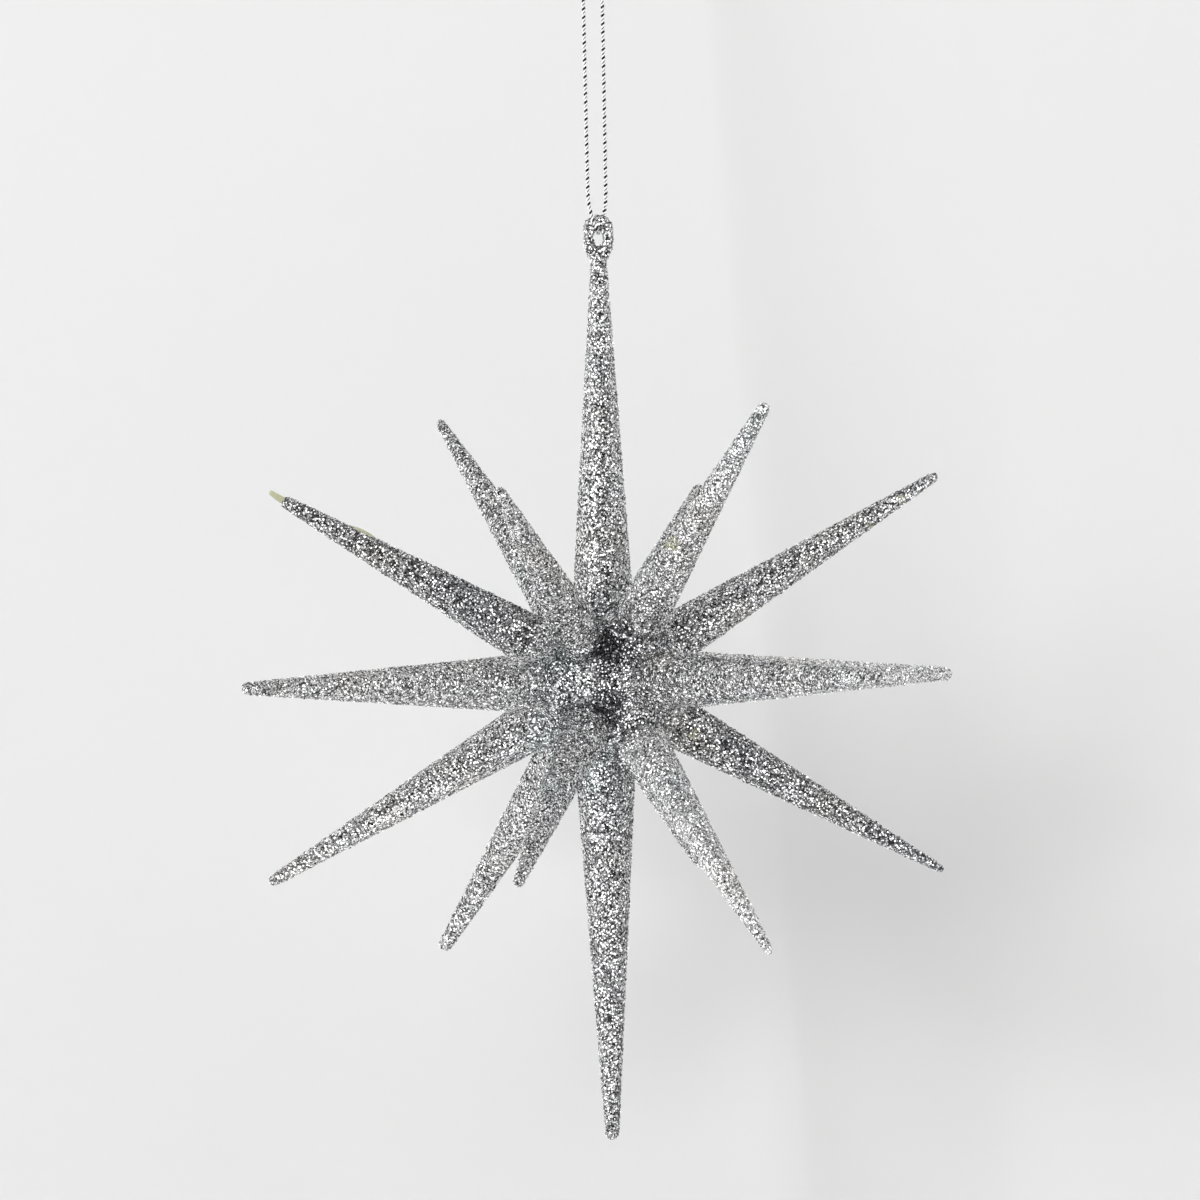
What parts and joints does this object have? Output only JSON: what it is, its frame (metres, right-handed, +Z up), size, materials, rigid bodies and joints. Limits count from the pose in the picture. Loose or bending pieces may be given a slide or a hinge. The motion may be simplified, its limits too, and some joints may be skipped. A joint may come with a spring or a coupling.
{
  "type": "hanging starburst ornament",
  "caption": "Hanging starburst ornament: long and short glitter-coated tapered spikes set round a ball, with a moulded eye and a knotted cord loop.",
  "frame": {"origin": "top of the cord loop, where a hook bears; the ball's centre hangs below it, 0.5 mm to the left, as the top spike leans", "axes": "+Z up along the hanging line, -Y the front face seen first, +X to its right; the eye's hole runs along Y"},
  "size_m": [0.1371, 0.1377, 0.2349],
  "materials": {
    "glitter_coat": "silver glitter flakes bonded over pale moulded plastic",
    "silver_cord": "twisted metallic thread",
    "bare_plastic": "bare translucent pale yellow-green plastic where the glitter missed"
  },
  "bodies": {
    "cord_loop": {"cord_strand_front": "silver_cord", "cord_strand_back": "silver_cord", "cord_knot": "silver_cord"},
    "bight": {"cord_bight": "silver_cord"},
    "star": {"hub_ball": "glitter_coat", "spike_top": "glitter_coat", "spike_left": "glitter_coat", "spike_right": "glitter_coat", "spike_front": "glitter_coat", "spike_back": "glitter_coat", "spike_bottom": "glitter_coat", "spike_front_upper": "glitter_coat", "spike_front_lower": "glitter_coat", "spike_back_upper": "glitter_coat", "spike_back_lower": "glitter_coat", "spike_left_front_upper": "glitter_coat", "spike_left_front_lower": "glitter_coat", "spike_left_back_upper": "glitter_coat", "spike_left_back_lower": "glitter_coat", "spike_right_front_upper": "glitter_coat", "spike_right_front_lower": "glitter_coat", "spike_right_back_upper": "glitter_coat", "spike_right_back_lower": "glitter_coat"}
  },
  "joints": [
    {"name": "cord_twist", "type": "hinge", "parent": "cord_loop", "child": "bight", "pos_m": [0, 0, -0.0416], "axis": [0, 0, 1], "range_deg": [-90, 90]},
    {"name": "star_swing", "type": "hinge", "parent": "bight", "child": "star", "pos_m": [0, 0, -0.05135], "axis": [0, 1, 0], "range_deg": [-40, 40]}
  ]
}
